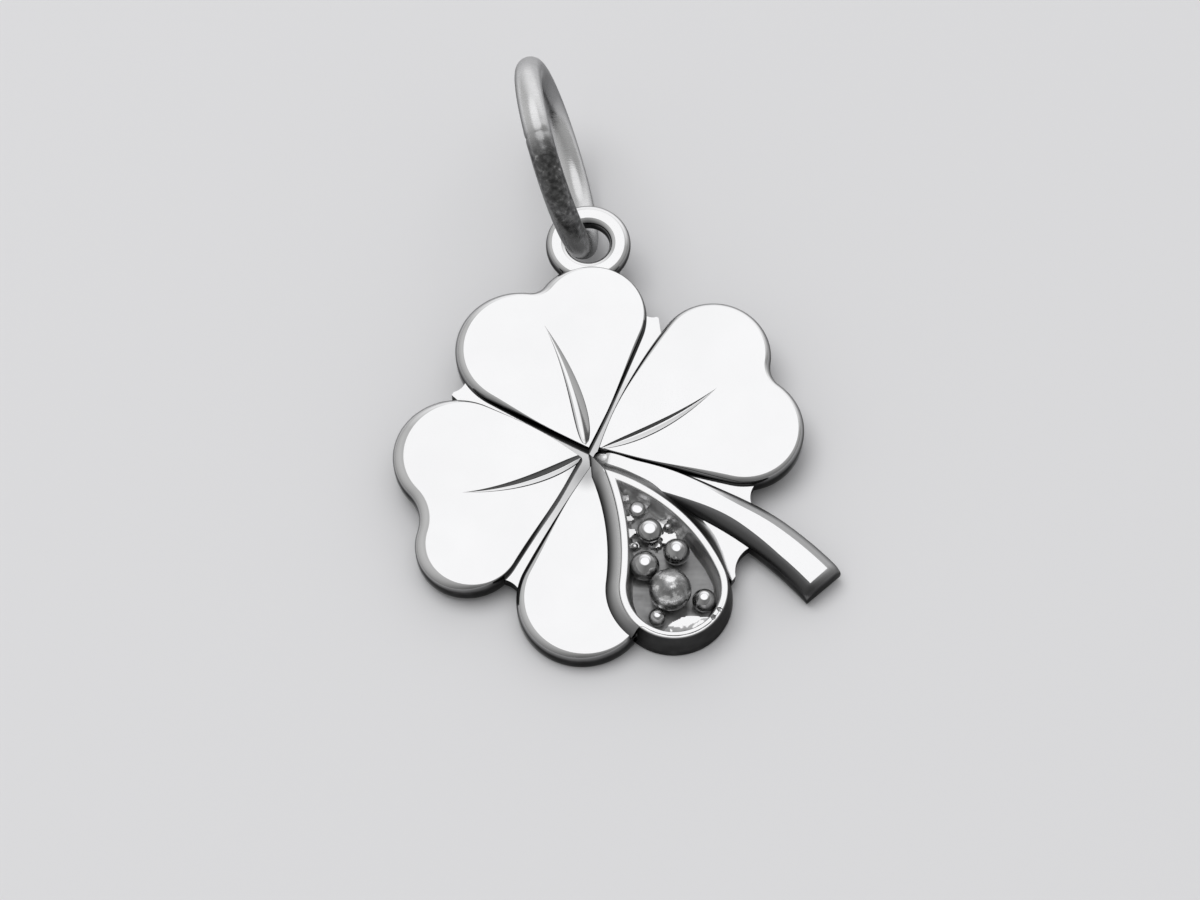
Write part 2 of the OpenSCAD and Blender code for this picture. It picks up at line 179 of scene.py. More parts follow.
def all_at_z(points, z):
    return np.column_stack([points, np.full(len(points), z)])


def smooth(x, low, high):
    t = np.clip((x - low) / (high - low), 0, 1)
    return t * t * (3 - 2 * t)


def arc(mid, r, a, b, turn, steps):
    """Points of an arc without its last."""
    sweep = (b - a) % 360 if turn > 0 else -((a - b) % 360)
    return [mid + polar(r, a + sweep * i / steps) for i in range(steps)]


def circle(mid, r, steps):
    return [mid + polar(r, a) for a in np.linspace(0, 360, steps, endpoint=False)]


def meet(c1, r1, c2, r2):
    """Where two circles meet, on the left of the line between their middles."""
    d = norm(c2 - c1)
    a = (r1 * r1 - r2 * r2 + d * d) / (2 * d)
    e = (c2 - c1) / d
    return c1 + a * e + sqrt(r1 * r1 - a * a) * vec(-e[1], e[0])


def inside(p, outline):
    """Whether a point is inside a closed outline."""
    a, b = outline, np.roll(outline, -1, axis=0)
    cross = (a[:, 1] > p[1]) != (b[:, 1] > p[1])
    x = a[:, 0] + (p[1] - a[:, 1]) * (b[:, 0] - a[:, 0]) / np.where(cross, b[:, 1] - a[:, 1], 1)
    return bool(np.count_nonzero(cross & (x > p[0])) % 2)


def ripple(p, size, scale, layer):
    """Smooth noise over the plane. The layer tells one pattern from another."""
    return size * noise.noise(Vector((p[0] * scale, p[1] * scale, layer)))


# Leaf outlines


def lobe_mids(leaf):
    """Middles of the left and the right lobe, with the leaf's axis along x."""
    left, right = leaf.left, leaf.right
    return LEAF_L * vec(left.along, left.across), LEAF_L * vec(right.along, -right.across)


def lobe_places(leaf):
    return [turned(p, leaf.angle) for p in lobe_mids(leaf)]


def leaf_outline(leaf, inset, fine=3):
    """Arcs from the tip round the right lobe, b, the notch and the left lobe, a."""
    tip0 = vec(LEAF_L * leaf.tip, 0)
    (ra, sa), (rb, sb) = [(LEAF_L * lobe.r, LEAF_L * lobe.side_r) for lobe in (leaf.left, leaf.right)]
    ma, mb = lobe_mids(leaf)
    qa, qb = meet(ma, sa - ra, tip0, sa), meet(tip0, sb, mb, sb - rb)
    rn = LEAF_L * leaf.notch
    notch = meet(ma, ra + rn, mb, rb + rn)
    tip = meet(qa, sa - inset, qb, sb - inset)
    side, lobe, dent = 7 * fine, 16 * fine, 5 * fine
    pts = (
        arc(qb, sb - inset, heading(tip - qb), heading(mb - qb), 1, side)
        + arc(mb, rb - inset, heading(mb - qb), heading(notch - mb), 1, lobe)
        + arc(notch, rn + inset, heading(mb - notch), heading(ma - notch), -1, dent)
        + arc(ma, ra - inset, heading(notch - ma), heading(ma - qa), 1, lobe)
        + arc(qa, sa - inset, heading(ma - qa), heading(tip - qa), 1, side)
    )
    return turned(np.array(pts), leaf.angle)


def leaf_ring(leaf, inset, z, lean):
    """Ring of a leaf's wall, with the edge narrower along the grooves towards the middle."""
    p, full = leaf_outline(leaf, 0), leaf_outline(leaf, inset)
    share = GROOVE_EDGE + (1 - GROOVE_EDGE) * smooth(norm(p, axis=1), *GROOVE_EDGE_GROWS)
    p = p + (full - p) * share[:, None]
    p[:, 0] -= leaf.lean * lean * norm(p, axis=1)
    return all_at_z(p, z)


def edge_profile(top, w, steps=10):
    """Rounded edge from the underside up: inset, height, share of the lean."""
    rows = [(FOOT_W * (1 - sin(a)), FOOT_W * (1 - cos(a)), 1) for a in (0, 0.5, 1.0, pi / 2)]
    for i in range(steps + 1):
        a = radians(90 * i / steps)
        out, up = abs(cos(a)) ** EDGE_CURVE, sin(a) ** EDGE_CURVE
        rows.append((w * (1 - out), top - EDGE_H * (1 - up), out))
    return rows


# Cup outline

cup_mid = lobe_places(CUP_LEAF)[0]
cup_r = CUP_D / 2
cup_tip = LEAF_L * vec(*CUP_TIP)
cup_top = PLATE_T + CUP_RISE
hollow_r, round_r = LEAF_L * CUP_HOLLOW, LEAF_L * CUP_ROUND
hollow_mid = meet(cup_mid, hollow_r + cup_r, cup_tip, hollow_r)
round_mid = meet(cup_mid, round_r - cup_r, cup_tip, round_r)
cup_axis = cup_tip - cup_mid
cup_left = vec(-cup_axis[1], cup_axis[0]) / norm(cup_axis)


def cup_outline(inset, steps=30):
    """Arcs from the tip along the hollow side, round the cup and back along the round side."""
    tip = meet(hollow_mid, hollow_r + inset, round_mid, round_r - inset)
    to_hollow, to_round = heading(cup_mid - hollow_mid), heading(cup_mid - round_mid)
    pts = (
        arc(hollow_mid, hollow_r + inset, heading(tip - hollow_mid), to_hollow, -1, steps)
        + arc(cup_mid, cup_r - inset, heading(hollow_mid - cup_mid), to_round, 1, 2 * steps)
        + arc(round_mid, round_r - inset, to_round, heading(tip - round_mid), 1, steps)
    )
    return np.array(pts)


def cup_ring(inset, z):
    return all_at_z(cup_outline(inset), z)


def grain_place(along, across, size):
    """Where a grain lies, between the cup's walls or their rounding at the round end."""
    base = cup_mid + along * cup_axis
    room = GRAIN_D * size / 2 + GRAIN_GAP
    if along > 0:
        to = hollow_mid - base
        left = to @ cup_left - sqrt((hollow_r + RIM_W) ** 2 - crossed(to, cup_left) ** 2) - room
        to = round_mid - base
        right = sqrt((round_r - RIM_W) ** 2 - crossed(to, cup_left) ** 2) - to @ cup_left - room
    else:
        off = along * norm(cup_axis)
        left = right = sqrt((cup_r - RIM_W - room) ** 2 - off ** 2)
    return base + cup_left * (left - right + across * (left + right)) / 2


# Stem outline

stem_start = LEAF_L * vec(*STEM_START)
stem_top = PLATE_T - STEM_DROP


def stem_place(s):
    a = s / STEM_BEND
    return stem_start + turned(STEM_BEND * vec(sin(a), cos(a) - 1), STEM_HEADING)


def stem_turn(s):
    return STEM_HEADING - degrees(s / STEM_BEND)


def stem_section(s, drop):
    """Cross-section s along the stem, with its top lower by drop. Its left side faces the right leaf."""
    w = (STEM_ROOT_W + (STEM_END_W - STEM_ROOT_W) * sqrt(s / STEM_L)) / 2
    grown = smooth(s, *[share * STEM_L for share in STEM_EDGE_GROWS])
    edge = STEM_ROOT_EDGE_W + (STEM_EDGE_W - STEM_ROOT_EDGE_W) * grown
    slope = STEM_SLOPE_W * sin(pi * min(s / (STEM_SLOPE_L * STEM_L), 1))
    gap = STEM_GAP * smooth(s, *STEM_GAP_COMES) * (1 - smooth(s, *STEM_GAP_GOES))
    mid, across, top = stem_place(s), polar(1, stem_turn(s) - 90), stem_top - drop
    left = [at_z(mid - across * (w - gap - inset), z) for inset, z, _ in edge_profile(top, edge)]
    right = [at_z(mid + across * (w - inset), z) for inset, z, _ in edge_profile(top, edge + slope)]
    return np.array(left + right[::-1])


# Eyelet, jump ring and rest pose

eye_r = (RING_WIRE + EYE_PLAY + EYE_WIRE) / 2
eye_out = LEAF_L * TOP_LEAF.right.r - EYE_BITE + EYE_WIRE / 2 + eye_r
eye_mid = at_z(lobe_places(TOP_LEAF)[1] + polar(eye_out, EYE_TURN), PLATE_T / 2)
ring_r = (RING_D - RING_WIRE) / 2


def ring_vectors():
    """The ring's reach from the eyelet, and its axis."""
    turn, lean, lift = [radians(a) for a in (RING_TURN, RING_LEAN, RING_LIFT)]
    ahead = vec(-sin(turn), cos(turn), 0)
    side = vec(cos(turn), sin(turn), 0)
    up = vec(0, 0, 1) * cos(lean) + side * sin(lean)
    reach = ahead * cos(lift) + up * sin(lift)
    return reach, np.cross(ahead, up)


ring_reach, ring_axis = ring_vectors()
ring_mid = eye_mid + vec(-RING_ASIDE, RING_OUT, -RING_LOW) + ring_r * ring_reach

# The line on which the pendant rests touches the undersides of the cup, a, and of the plain lobe, b
foot_b = lobe_places(CUP_LEAF)[1]
foot_b = foot_b - vec(CUP_LEAF.lean * norm(foot_b), 0)
foot_b_r = LEAF_L * CUP_LEAF.right.r - FOOT_W
foot_a_r = cup_r + CUP_DRAFT - FOOT_W
foot_turn = heading(cup_mid - foot_b) - degrees(
    acos((foot_b_r - foot_a_r) / norm(cup_mid - foot_b)))
foot_out = polar(1, foot_turn)
foot_along = vec(-foot_out[1], foot_out[0], 0)
foot_place = at_z(foot_b + foot_b_r * foot_out, 0)


def settle():
    """Tilt at which the jump ring touches the table as both lower lobes do."""
    low, high = 0.0, radians(20)
    for _ in range(40):
        t = (low + high) / 2
        up = np.append(-sin(t) * foot_out, cos(t))
        height = (ring_mid - foot_place) @ up - ring_r * sqrt(1 - (ring_axis @ up) ** 2) - RING_WIRE / 2
        low, high = (low, t) if height > 0 else (t, high)
    return (low + high) / 2


TURN = np.array(Matrix.Rotation(settle(), 3, Vector(foot_along)))


def table_mid():
    """Middle of the clover's and the ring's box on the table."""
    pts = [leaf_ring(leaf, 0, z, 1) for leaf in LEAVES for z in (FOOT_W, PLATE_T - EDGE_H)]
    w = STEM_END_W / 2 * polar(1, stem_turn(STEM_L) + 90)
    ends = [stem_place(STEM_L) - w, stem_place(STEM_L) + w]
    pts += [all_at_z(ends, z) for z in (FOOT_W, stem_top - EDGE_H)]
    p = (np.concatenate(pts) - foot_place) @ TURN.T
    ring = TURN @ (ring_mid - foot_place)
    high = ring[1] + ring_r * sqrt(1 - (TURN @ ring_axis)[1] ** 2) + RING_WIRE / 2
    return vec((p[:, 0].min() + p[:, 0].max()) / 2, (p[:, 1].min() + high) / 2, 0)


TABLE_MID = table_mid()


def lay(points):
    """From the plate frame in millimetres to the row frame in metres."""
    return ((np.asarray(points, float) - foot_place) @ TURN.T - TABLE_MID) * MM


# Mesh helpers


def new_object(name, data):
    obj = bpy.data.objects.new(name, data)
    bpy.context.scene.collection.objects.link(obj)
    return obj


def edit(mesh, change):
    """Lets a function change a mesh."""
    bm = bmesh.new()
    bm.from_mesh(mesh)
    change(bm)
    bm.to_mesh(mesh)
    bm.free()


def solid(name, verts, faces):
    """Object in the plate frame, in millimetres, with its normals outward."""
    mesh = bpy.data.meshes.new(name)
    mesh.from_pydata([tuple(v) for v in verts], [], faces)
    edit(mesh, lambda bm: bmesh.ops.recalc_face_normals(bm, faces=bm.faces))
    return new_object(name, mesh)


def ball(name, r, subdivisions, place):
    """Ball with each of its points moved by place, a function."""
    def make(bm):
        bmesh.ops.create_icosphere(bm, subdivisions=subdivisions, radius=r)
        for v in bm.verts:
            v.co = place(v.co)
    mesh = bpy.data.meshes.new(name)
    edit(mesh, make)
    return new_object(name, mesh)


def skin(name, rings):
    """Closed solid through rings of equally many points."""
    n = len(rings[0])
    verts = np.concatenate(rings)
    faces = [
        (k * n + i, k * n + (i + 1) % n, (k + 1) * n + (i + 1) % n, (k + 1) * n + i)
        for k in range(len(rings) - 1) for i in range(n)
    ]
    last = (len(rings) - 1) * n
    faces.append(tuple(range(n)))
    faces.append(tuple(range(last, last + n)))
    return solid(name, verts, faces)


def prism(name, outline, low, high):
    return skin(name, [all_at_z(outline, z) for z in (low, high)])


def torus(name, mid, axis, start, r, wire, around, across, shape):
    """Round wire in a ring. shape(t, a) adds to the wire's radius."""
    axis, start = axis / norm(axis), start / norm(start)
    side = np.cross(axis, start)
    verts = []
    for i in range(around):
        t = 2 * pi * i / around
        out = start * cos(t) + side * sin(t)
        for j in range(across):
            a = 2 * pi * j / across
            w = wire / 2 + shape(t, a)
            verts.append(mid + out * (r + w * cos(a)) + axis * w * sin(a))
    faces = [
        (i * across + j, ((i + 1) % around) * across + j,
         ((i + 1) % around) * across + (j + 1) % across, i * across + (j + 1) % across)
        for i in range(around) for j in range(across)
    ]
    return solid(name, verts, faces)


def combine(base, others, operation):
    """Applies a boolean of base with each other object, and removes the others."""
    for other in others:
        mod = base.modifiers.new("join", "BOOLEAN")
        mod.object = other
        mod.operation = operation
        mod.solver = "EXACT"
        mesh = bpy.data.meshes.new_from_object(base.evaluated_get(bpy.context.evaluated_depsgraph_get()))
        base.modifiers.clear()
        old = base.data
        base.data = mesh
        bpy.data.meshes.remove(old)
        bpy.data.objects.remove(other)
    return base


# Leaves, web and stem

# Drop of melted metal at the middle: place, radius, top, height, and its rings as shares of the radius
BLOB_MID, BLOB_R, BLOB_TOP, BLOB_H = vec(0.52, -0.14), 0.42, 0.85, 0.28
BLOB_RINGS = (1.0, 0.85, 0.7, 0.55, 0.4, 0.25, 0.1)
# How far a tongue starts behind the middle
TONGUE_BACK = 0.2


def leaf_solid(leaf):
    return skin("leaf", [leaf_ring(leaf, *row) for row in edge_profile(PLATE_T, EDGE_W)])


def tongue_outline(angle, reach, right, left):
    reach, right, left = LEAF_L * reach, -WEB_W * right, WEB_W * left
    knee = TONGUE_KNEE * vec(reach, max(left, -right))
    scoop = SCOOP_R * (left - right)
    mid = vec(reach + SCOOP_OUT * scoop, (left + right) / 2)
    side = degrees(acos(SCOOP_OUT))
    end = [mid + polar(scoop, 180 + a) for a in np.linspace(side, -side, 25)]
    outline = [vec(-TONGUE_BACK, 0), knee * vec(1, -1), vec(reach, right)] + end + [vec(reach, left), knee]
    return turned(np.array(outline), angle)


def web_solid():
    top = PLATE_T - WEB_DROP
    hub = prism("web", circle(MIDDLE, WEB_HUB * LEAF_L, 64), 0.0, top)
    return combine(hub, [prism("tongue", tongue_outline(*g), 0.0, top) for g in GROOVES], "UNION")


def blob_solid():
    """Melted metal where the right leaf and the stem meet at the middle."""
    return skin("blob", [
        all_at_z(circle(BLOB_MID, share * BLOB_R, 48), BLOB_TOP - BLOB_H * share * share)
        for share in BLOB_RINGS
    ])


def stem_solid():
    """Stem from the middle, where it rises out of the web, to its rounded end."""
    flat, rise = STEM_L - STEM_EDGE_W, stem_top - PLATE_T + WEB_DROP
    steps, end_steps, closer_at_root = 64, 8, 1.6
    sections = []
    for i in range(steps + 1):
        s = flat * (i / steps) ** closer_at_root
        sections.append(stem_section(s, rise * max(0, 1 - s / (STEM_ROOT_L * STEM_L)) ** 2))
    for i in range(1, end_steps + 1):
        a = radians(90 * i / end_steps)
        s = STEM_L - STEM_EDGE_W * (1 - sin(a))
        sections.append(stem_section(s, EDGE_H * (1 - cos(a))))
    return skin("stem", sections)


def eyelet_solid():
    """Wire hammered a little flat above and below."""
    def flat(_, a):
        round_off = abs(cos(a)) ** EYE_FLAT + abs(sin(a)) ** EYE_FLAT
        return EYE_WIRE / 2 * (round_off ** (-1 / EYE_FLAT) - 1)
    return torus("eyelet", eye_mid, vec(0, 0, 1), vec(1, 0, 0), eye_r, EYE_WIRE, 96, 40, flat)


# Cup and the slope round it

# How far a cutter stands over what it cuts, and how far a joined form is sunk into its neighbour
OVER, SUNK = 0.2, 0.01
# The slope's width on the plain lobe and at the stem, its gain at the web and its loss at the cup's round
# end, and the distances from the tip at which these come
SKIRT_W, STEM_SKIRT_W, WEB_SKIRT_W, END_SKIRT_W = 0.5, 0.40, 0.16, 0.34
WEB_SKIRT_COMES, END_SKIRT_COMES = (1.2, 3.4), (4.2, 5.9)
# The slope starts inside the wall, and outside it only at the tip, where it would cross itself
SKIRT_IN, SKIRT_TIP_OUT = 0.03, 0.01
# Place where the slopes round the cup's tip meet, and how strongly they are drawn there
HUB_LOW, HUB_PULL = vec(-0.06, 0.05, 0.74), 0.8
# How hollow the slope is towards the web, its underside, and the steps down it and round the tip
SKIRT_HOLLOW, SKIRT_BASE, SKIRT_STEPS, TIP_STEPS = 2.1, 0.3, 12, 12
# Undersides and tops over the cup of the blocks that bound the slope. All differ, so no faces coincide.
LOBE_BLOCK, HUB_BLOCK, TONGUE_BLOCK = (0.1, 0.1), (0.05, 0.2), (0.15, 0.3)
HUB_BLOCK_R = 1.35


def cup_wall_solid():
    """Outside of the cup, which leans out towards its foot, and its rim's outer edge."""
    rows = [(FOOT_W - CUP_DRAFT, 0), (0.02 - CUP_DRAFT, 0.015), (-CUP_DRAFT, FOOT_W),
            (-0.55 * CUP_DRAFT, 0.5 * cup_top), (-0.05 * CUP_DRAFT, cup_top - 2 * RIM_EDGE)]
    rows += [(RIM_EDGE * (1 - cos(a)), cup_top - RIM_EDGE * (1 - sin(a)))
             for a in np.radians([0, 22, 45, 67, 90])]
    return skin("cup", [cup_ring(*row) for row in rows])


def hollow_solid():
    """Inside of the cup from its floor up, with its rim's inner edge."""
    rows = [(RIM_W + BOWL_W, FLOOR_T)]
    for a in np.radians([15, 30, 45, 60, 75, 90]):
        inset = RIM_W + WALL_LEAN + (BOWL_W - WALL_LEAN) * (1 - sin(a))
        rows.append((inset, FLOOR_T + BOWL_H * (1 - cos(a))))
    rows += [(RIM_W + RIM_LEAN, cup_top - RIM_LEAN_AT), (RIM_W, cup_top - RIM_EDGE)]
    rows += [(RIM_W - RIM_EDGE * (1 - cos(a)), cup_top - RIM_EDGE * (1 - sin(a)))
             for a in np.radians([30, 60, 88])]
    rows += [(RIM_W - 1.1 * RIM_EDGE, cup_top + OVER)]
    return skin("hollow", [cup_ring(*row) for row in rows])


def cup_rail(steps=30):
    """Points round the cup: place, way out, distance from the tip, and share of the stem's side."""
    first, last = heading(cup_tip - round_mid), heading(hollow_mid - cup_tip)
    rail = []
    for i in range(TIP_STEPS + 1):
        a = first + (last - first) % 360 * i / TIP_STEPS
        rail.append((cup_tip, polar(1, a), 0.0, 1 - i / TIP_STEPS))
    for k, p in enumerate(cup_outline(0.0, steps)[1:], 1):
        if k < steps:
            out, side = hollow_mid - p, 0.0
        elif k < 3 * steps:
            out, side = p - cup_mid, (k - steps) / (2 * steps)
        else:
            out, side = p - round_mid, 1.0
        rail.append((p, out / norm(out), norm(p - cup_tip), side))
    return rail


def skirt_foot(point):
    """Foot of the slope on the lobe, the stem or the web, and at the tip drawn to the hub."""
    p, out, away, side = point
    web = smooth(away, *WEB_SKIRT_COMES)
    end = smooth(away, *END_SKIRT_COMES)
    width = (1 - side) * SKIRT_W + side * (STEM_SKIRT_W + WEB_SKIRT_W * web - END_SKIRT_W * end)
    level_out = stem_top - SUNK + (PLATE_T - WEB_DROP - stem_top + 2 * SUNK) * web
    foot = at_z(p + out * width, (1 - side) * (PLATE_T - 2 * SUNK) + side * level_out)
    if away == 0:
        pull = 1 - abs(2 * side - 1)
        foot = foot + (HUB_LOW - foot) * pull ** HUB_PULL
    return foot


def skirt_ring(t, floor=None):
    """Ring of the slope, from the rim's crest at t = 0 down to its foot at t = 1, or flat at a floor."""
    crest = cup_top - RIM_EDGE - 2 * SUNK
    ring = []
    for point in cup_rail():
        p, out, away, side = point
        web = side * smooth(away, *WEB_SKIRT_COMES)
        foot = skirt_foot(point)
        lobe_rise = 0.5 * (1 - t) + 0.5 * sqrt(1 - t * t)
        rise = (1 - side) * lobe_rise + side * (1 - web) * (1 - t) + web * (1 - t) ** SKIRT_HOLLOW
        start = p + out * (SKIRT_TIP_OUT if away == 0 else -SKIRT_IN)
        z = floor if floor is not None else foot[2] + (crest - foot[2]) * rise
        ring.append(at_z(start + (foot[:2] - start) * t, z))
    return np.array(ring)


def skirt_solid():
    """Slope round the cup: rounded towards the plain lobe, hollow towards the stem, low at the middle."""
    def block(name, outline, heights):
        return prism(name, outline, heights[0], cup_top + heights[1])
    rings = [skirt_ring(1, SKIRT_BASE)] + [skirt_ring(t) for t in np.linspace(1, 0, SKIRT_STEPS + 1)]
    body = skin("skirt", rings)
    lobe = block("lobe", leaf_outline(CUP_LEAF, EDGE_W / 2), LOBE_BLOCK)
    hub = block("hub", circle(MIDDLE, HUB_BLOCK_R, 64), HUB_BLOCK)
    tongue = block("tongue", tongue_outline(*GROOVES[-1]), TONGUE_BLOCK)
    return combine(body, [combine(lobe, [hub, tongue], "UNION")], "INTERSECT")


# Veins


def sharp_section(valley):
    """Steep upper wall, long lower one and a small slope at its edge."""
    wall = [(1 - (1 - valley) * t, SHARP_D * t) for t in (0.05, 0.3, 0.7, 0.97)]
    long = [(valley - (SHARP_W + valley) * t, SHARP_D - SHARP_RISE * t) for t in (0.04, 0.3, 0.65, 1.0)]
    return [(1.0, -0.03)] + wall + long + [(-0.96, 0.02), (-1.0, -0.03)]


def vein_rings(vein):
    section = VEIN_SECTION if vein.valley is None else sharp_section(vein.valley)
    start, along = LEAF_L * vec(*vein.inner), LEAF_L * (vec(*vein.outer) - vec(*vein.inner))
    left = vec(-along[1], along[0]) / norm(along)
    rings = []
    for i in range(VEIN_STEPS + 1):
        t = i / VEIN_STEPS
        size = vein.size * max(sin(pi * t ** vein.swell), VEIN_TIP)
        mid = start + along * t + left * LEAF_L * vein.bow * 4 * t * (1 - t)
        w, d = left * vein.side * VEIN_W * size / 2, VEIN_D * size
        cut = [at_z(mid + w * u, PLATE_T - d * v) for u, v in section]
        cut += [at_z(mid - w * 1.05, PLATE_T + OVER), at_z(mid + w * 1.05, PLATE_T + OVER)]
        rings.append(np.array(cut))
    return rings


# Melted metal in the cup

# Pad at the cup's round end: corners, clockwise, depth below the rim, and its slope's width
PAD = [
    vec(2.45, -7.00), vec(2.88, -6.61), vec(3.25, -6.40), vec(3.75, -6.35), vec(4.32, -6.40),
    vec(4.60, -6.60), vec(4.20, -7.30), vec(3.00, -7.40),
]
PAD_DROP, PAD_SLOPE = 0.05, 0.08
# Polished flecks between the upper grains: place and size
FLECKS = [
    (1.80, -1.97, 0.32), (1.22, -1.60, 0.22), (2.83, -3.15, 0.36), (2.62, -2.60, 0.26), (1.44, -2.93, 0.28),
    (1.62, -3.45, 0.20), (2.21, -2.70, 0.24), (1.46, -2.37, 0.20), (2.35, -3.45, 0.20), (1.12, -2.05, 0.16),
]
# Their height, how much wider than long they are, and the share of the size at which they slope down
FLECK_H, FLECK_WIDE, FLECK_SLOPE = 0.16, 1.25, (0.82, 1.1)
# Floor: least rise, height of its bumps, what they gain towards the tip, and where along the cup they do
FLOOR_RISE, BUMP_H, TIP_BUMP_H, TIP_BUMPS = 0.03, 0.03, 0.05, (0.15, 0.6)
# Ripples in the floor, the pad's edge and top, and the flecks' edges: size, scale and layer
FLOOR_WAVES, PAD_EDGE_WAVES = (1.0, 2.2, 0.4), (0.04, 2.6, 5.0)
PAD_WAVES, FLECK_WAVES = (0.05, 2.6, 8.0), (0.55, 6.0, 3.0)
# The floor's squares, how far they reach under the rim, and the underside of their block over FLOOR_T
CUP_STEP, FLOOR_TUCK, FLOOR_BASE = 0.036, 0.06, 0.5
# Nicks in the rim beside the pad: place and size
NICKS = [
    (4.64, -6.22, 0.13), (4.40, -6.52, 0.12), (4.22, -6.97, 0.11), (4.90, -6.20, 0.10), (4.05, -7.22, 0.12),
]
# How rough they are, at what scale, and how high over the rim they lie over their size
NICK_ROUGH, NICK_SCALE, NICK_UP = 0.45, 16, 0.7


def pad_depth(p):
    """How far a point lies inside the pad."""
    return ripple(p, *PAD_EDGE_WAVES) + min(
        crossed(p - a, (b - a) / norm(b - a)) for a, b in zip(PAD, PAD[1:] + PAD[:1]))


def fleck_share(p):
    """1 on a fleck and 0 off all of them."""
    near_by = min(hypot(p[0] - x, (p[1] - y) * FLECK_WIDE) / r for x, y, r in FLECKS)
    return 1 - smooth(near_by + ripple(p, *FLECK_WAVES), *FLECK_SLOPE)


def cup_floor_height(p):
    """Uneven floor with raised flecks towards the tip and a flat pad at the round end."""
    tipward = smooth((p - cup_mid) @ cup_axis / (cup_axis @ cup_axis), *TIP_BUMPS)
    bumps = (BUMP_H + TIP_BUMP_H * tipward) * (0.5 + ripple(p, *FLOOR_WAVES))
    low = FLOOR_T + FLOOR_RISE + bumps + FLECK_H * fleck_share(p)
    pad = cup_top - PAD_DROP + ripple(p, *PAD_WAVES)
    return low + (pad - low) * smooth(pad_depth(p), 0.0, PAD_SLOPE)


def cup_floor_solid():
    """Block of small squares under the cup's floor, with its sides inside the cup's wall."""
    edge = cup_outline(RIM_W - FLOOR_TUCK)
    low, high = edge.min(axis=0), edge.max(axis=0)
    nx, ny = [int(n) for n in np.ceil((high - low) / CUP_STEP)]
    index, tops = {}, []
    for i in range(nx + 1):
        for j in range(ny + 1):
            p = low + vec(i, j) * CUP_STEP
            if inside(p, edge):
                index[i, j] = len(tops)
                tops.append(at_z(p, cup_floor_height(p)))
    squares = [[(i, j), (i + 1, j), (i + 1, j + 1), (i, j + 1)] for i, j in index]
    squares = [[index[c] for c in square] for square in squares if all(c in index for c in square)]
    sides = {(a, b) for q in squares for a, b in zip(q, q[1:] + q[:1])}
    used = {k: i for i, k in enumerate(sorted({a for q in squares for a in q}))}
    n = len(used)
    verts = [tops[k] for k in used] + [at_z(tops[k], FLOOR_BASE * FLOOR_T) for k in used]
    faces = [tuple(used[a] for a in q) for q in squares]
    faces += [tuple(used[a] + n for a in reversed(q)) for q in squares]
    faces += [(used[b], used[a], used[a] + n, used[b] + n) for a, b in sorted(sides) if (b, a) not in sides]
    return solid("cup_floor", verts, faces)


def nick_solid(x, y, r):
    """Small uneven lump, cut out of the rim."""
    mid, seed = Vector((x, y, cup_top + NICK_UP * r)), Vector((x, y, 0))
    return ball("nick", r, 2, lambda co: co * (1 + NICK_ROUGH * noise.noise(co * NICK_SCALE + seed)) + mid)


# Painted shade and materials on the clover

# How level the faces are that take painted shade, and how level a vein's lower wall is where it stays
# bright
SHADE_SLOPES, VEIN_BRIGHT = (0.12, 0.995), 0.89
# How near to a sharp vein's surface a point takes its painted shade
VEIN_NEAR = 0.06
# Painted shade on the plain lobe's slope: strength, and where it comes; and at the web: least, and under
# the rim
LOBE_SHADE = [(0.35, 0.0, 0.3), (0.65, 0.2, 1.0)]
WEB_SHADE, RIM_SHADE, RIM_COMES = 0.15, 0.75, (1.0, 2.5)
# Painted shade on the stem's inner side, with the x from which it is there, and on its outer side
STEM_SHADE, STEM_FROM, STEM_OUTER_SHADE, STEM_OUTER_COMES = 0.9, 2.2, 0.55, (4.0, 5.5)
# Border of the cup's grey metal: outside the inner wall, below the rim, into the pad and on a fleck
CUP_BORDER, CUP_BELOW, PAD_POLISH, FLECK_POLISH = 0.012, 0.01, 0.055, 0.5


def cup_material(face, border):
    """1 for the cup's grey metal, and 0 for the polished metal of the rest, the pad and the flecks."""
    if face.center.z >= cup_top - CUP_BELOW or not inside(face.center, border):
        return 0
    p = vec(*face.center[:2])
    melted = pad_depth(p) > PAD_POLISH or fleck_share(p) > FLECK_POLISH
    return 0 if face.normal.z > 0.5 and melted else 1


def slope_tarnish(points):
    """Painted shade on the slopes round the cup: deep along the plain lobe, and under the rim at the web.
    """
    rail = cup_rail()
    place, out, away, side = [np.array(column) for column in zip(*rail)]
    width = norm(np.array([skirt_foot(r)[:2] for r in rail]) - place, axis=1)
    midway = place + SKIRT_W / 2 * out
    nearest = np.array([np.argmin(norm(midway - p[:2], axis=1)) for p in points])
    gap = norm(points[:, :2] - place[nearest], axis=1)
    t = np.minimum(gap / width[nearest], 1)
    lobe = sum(strength * smooth(t, *comes) for strength, *comes in LOBE_SHADE)
    web = WEB_SHADE + RIM_SHADE * (1 - t) * smooth(away[nearest], *RIM_COMES)
    value = (1 - side[nearest]) * lobe + side[nearest] * web
    return value * (gap < width[nearest] + 0.1)


def stem_tarnish(points):
    """Painted shade on the stem's inner side past the cup, and less on its outer side towards the end."""
    bend = stem_start + turned(vec(0, -STEM_BEND), STEM_HEADING)
    across = STEM_BEND - norm(points[:, :2] - bend, axis=1)
    off = abs(across)
    on_side = (off > 0.1) & (off < STEM_END_W / 2 + 0.02) & (points[:, 2] < stem_top + SUNK)
    inner = STEM_SHADE * (on_side & (across > 0) & (points[:, 0] > STEM_FROM))
    outer = STEM_OUTER_SHADE * (on_side & (across < 0)) * smooth(points[:, 0], *STEM_OUTER_COMES)
    return np.maximum(inner, outer)


